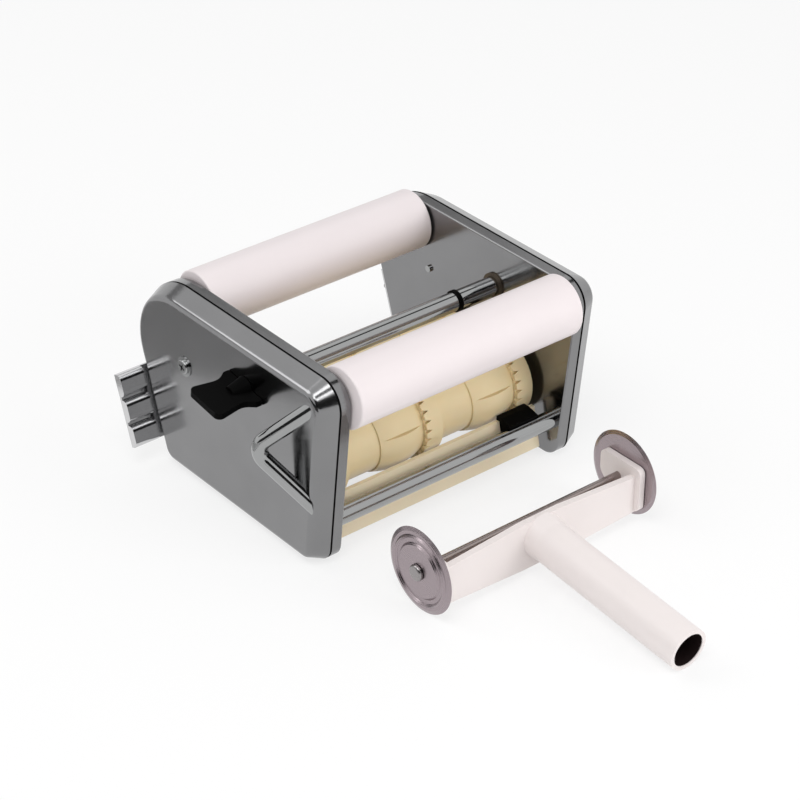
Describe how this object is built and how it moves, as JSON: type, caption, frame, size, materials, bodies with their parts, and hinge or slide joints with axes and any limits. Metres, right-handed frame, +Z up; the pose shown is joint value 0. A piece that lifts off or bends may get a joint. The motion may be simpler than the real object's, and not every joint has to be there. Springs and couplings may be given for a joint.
{
  "type": "dough forming roller unit",
  "caption": "Hand pasta forming unit: guide rollers over geared frilled forming rollers between rounded metal end housings, with a separate twin-wheel dough cutter.",
  "frame": {"origin": "on the table plane, midway between the end housings and midway between the guide-roller axes", "axes": "X along the rollers towards the drive-socket end, +Y to the back, +Z up"},
  "size_m": [0.2523, 0.3692, 0.1274],
  "materials": {
    "polished_steel": "polished, slightly soft",
    "seam_black": "matte black",
    "bright_bar": "mirror bright",
    "white_plastic": "satin white with a pinkish tint",
    "cream_plastic": "satin cream",
    "black_plastic": "fine matte black",
    "shaft_steel": "turned steel",
    "bronze": "sintered bearing metal",
    "gear_plastic": "moulded natural",
    "wheel_steel": "warm grey turned steel"
  },
  "bodies": {
    "machine_frame": {"left_cover": "polished_steel", "right_cover": "polished_steel", "left_seam": "seam_black", "right_seam": "seam_black", "left_frame": "polished_steel", "right_frame": "polished_steel", "cover_screws": "bright_bar", "screw_washers": "bright_bar", "front_guide_axle": "shaft_steel", "rear_guide_axle": "shaft_steel", "axle_clips": "shaft_steel", "forming_bushes": "bronze", "bar_bushes": "bronze", "front_tie_rod": "bright_bar", "rear_tie_rod": "bright_bar", "tie_rod_screws": "shaft_steel", "front_apron": "cream_plastic", "rear_apron": "cream_plastic", "apron_clips": "black_plastic", "side_handle": "bright_bar", "left_host_clip": "polished_steel", "right_host_clip": "polished_steel", "clip_rivets": "shaft_steel"},
    "front_guide": {"front_guide_roller": "white_plastic", "front_guide_plugs": "white_plastic"},
    "rear_guide": {"rear_guide_roller": "white_plastic", "rear_guide_plugs": "white_plastic"},
    "front_forming": {"front_forming_roller": "cream_plastic", "front_forming_shaft": "shaft_steel", "front_gear": "gear_plastic"},
    "rear_forming": {"rear_forming_roller": "cream_plastic", "rear_forming_shaft": "shaft_steel", "rear_gear": "gear_plastic"},
    "release": {"release_bar": "bright_bar", "bar_ring": "black_plastic", "wing_knob": "black_plastic"},
    "cutter": {"cutter_frame": "white_plastic", "cutter_axle": "wheel_steel", "wheel_caps": "wheel_steel"},
    "left_wheel": {"left_cutter_wheel": "wheel_steel"},
    "right_wheel": {"right_cutter_wheel": "wheel_steel"}
  },
  "joints": [
    {"name": "front_guide_spin", "type": "hinge", "parent": "machine_frame", "child": "front_guide", "pos_m": [0, -0.0681, 0.1085], "axis": [1, 0, 0], "continuous": true},
    {"name": "rear_guide_spin", "type": "hinge", "parent": "machine_frame", "child": "rear_guide", "pos_m": [0, 0.0681, 0.1085], "axis": [1, 0, 0], "continuous": true},
    {"name": "front_forming_spin", "type": "hinge", "parent": "machine_frame", "child": "front_forming", "pos_m": [0, -0.0252, 0.0425], "axis": [1, 0, 0], "continuous": true},
    {"name": "rear_forming_spin", "type": "hinge", "parent": "machine_frame", "child": "rear_forming", "pos_m": [0, 0.0252, 0.0425], "axis": [1, 0, 0], "continuous": true},
    {"name": "release_turn", "type": "hinge", "parent": "machine_frame", "child": "release", "pos_m": [0, -0.0075, 0.0942], "axis": [1, 0, 0], "range_deg": [0, 90]},
    {"name": "cutter_lift", "type": "slide", "parent": "machine_frame", "child": "cutter", "axis": [0, 0, 1], "range_m": [0, 0.06]},
    {"name": "left_wheel_spin", "type": "hinge", "parent": "cutter", "child": "left_wheel", "pos_m": [0, -0.132, 0.0263], "axis": [1, 0, 0], "continuous": true},
    {"name": "right_wheel_spin", "type": "hinge", "parent": "cutter", "child": "right_wheel", "pos_m": [0, -0.132, 0.0263], "axis": [1, 0, 0], "continuous": true}
  ],
  "couplings": [
    {"joint": "rear_forming_spin", "follows": "front_forming_spin", "ratio": -1}
  ]
}
